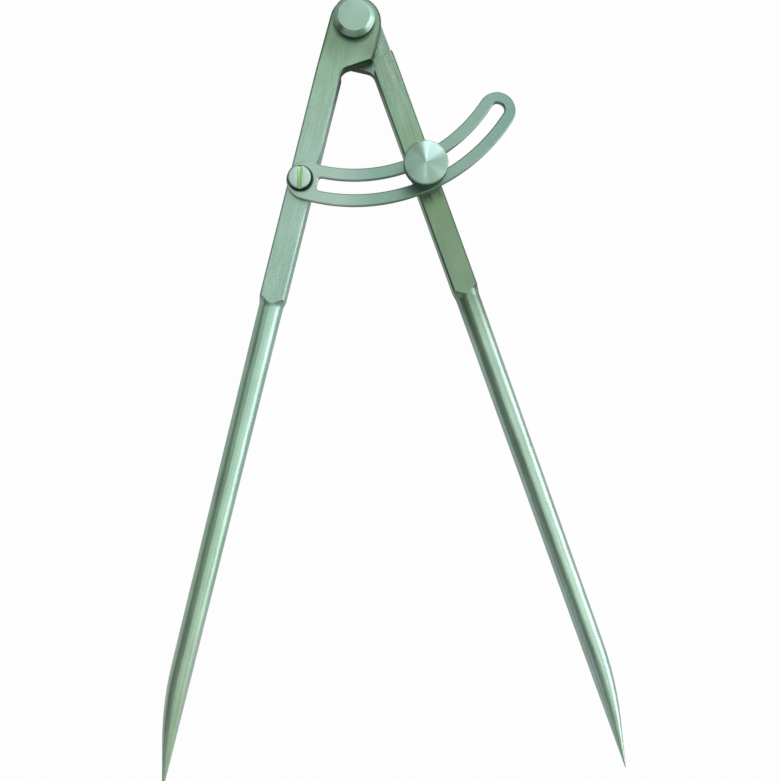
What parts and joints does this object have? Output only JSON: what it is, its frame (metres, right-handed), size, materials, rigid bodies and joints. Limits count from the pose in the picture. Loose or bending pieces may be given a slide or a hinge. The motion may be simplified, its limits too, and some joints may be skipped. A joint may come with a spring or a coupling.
{
  "type": "hinged divider",
  "caption": "Steel marking-out divider: two pointed legs on a riveted hinge, held open by a slotted arc and a knurled clamp screw.",
  "frame": {"origin": "on the hinge axis, on the back face of the rear rivet washer, on which the tool lies", "axes": "+Z out of the front face, towards the screw heads; +Y from the points to the hinge; +X from the left leg to the right leg; the legs open evenly about -Y at rest"},
  "size_m": [0.1468, 0.2461, 0.0251],
  "materials": {
    "ground_steel": "ground along the legs, satin",
    "polished_steel": "polished",
    "arc_steel": "smooth satin sheet",
    "screw_steel": "bright turned",
    "turned_steel": "face turned in fine rings, knurled rim"
  },
  "bodies": {
    "left_leg": {"left_leg": "ground_steel", "pivot_rivet": "polished_steel", "rivet_washer": "polished_steel", "setting_arc": "arc_steel", "arc_screw": "screw_steel"},
    "right_leg": {"right_leg": "ground_steel"},
    "clamp_washer": {"clamp_washer": "screw_steel"},
    "clamp_screw": {"clamp_screw": "turned_steel"}
  },
  "joints": [
    {"name": "leg_hinge", "type": "hinge", "parent": "left_leg", "child": "right_leg", "pos_m": [0, 0, 0.00609], "axis": [0, 0, 1], "range_deg": [-34, 32.5]},
    {"name": "clamp_lift", "type": "slide", "parent": "right_leg", "child": "clamp_washer", "axis": [0, 0, 1], "range_m": [0, 0.0014]},
    {"name": "clamp_turn", "type": "hinge", "parent": "clamp_washer", "child": "clamp_screw", "pos_m": [0.01928, -0.04937, 0.0125], "axis": [0, 0, 1], "range_deg": [0, 720]}
  ],
  "couplings": [
    {"joint": "clamp_lift", "follows": "clamp_turn", "m_per_rad": 0.0001114}
  ]
}
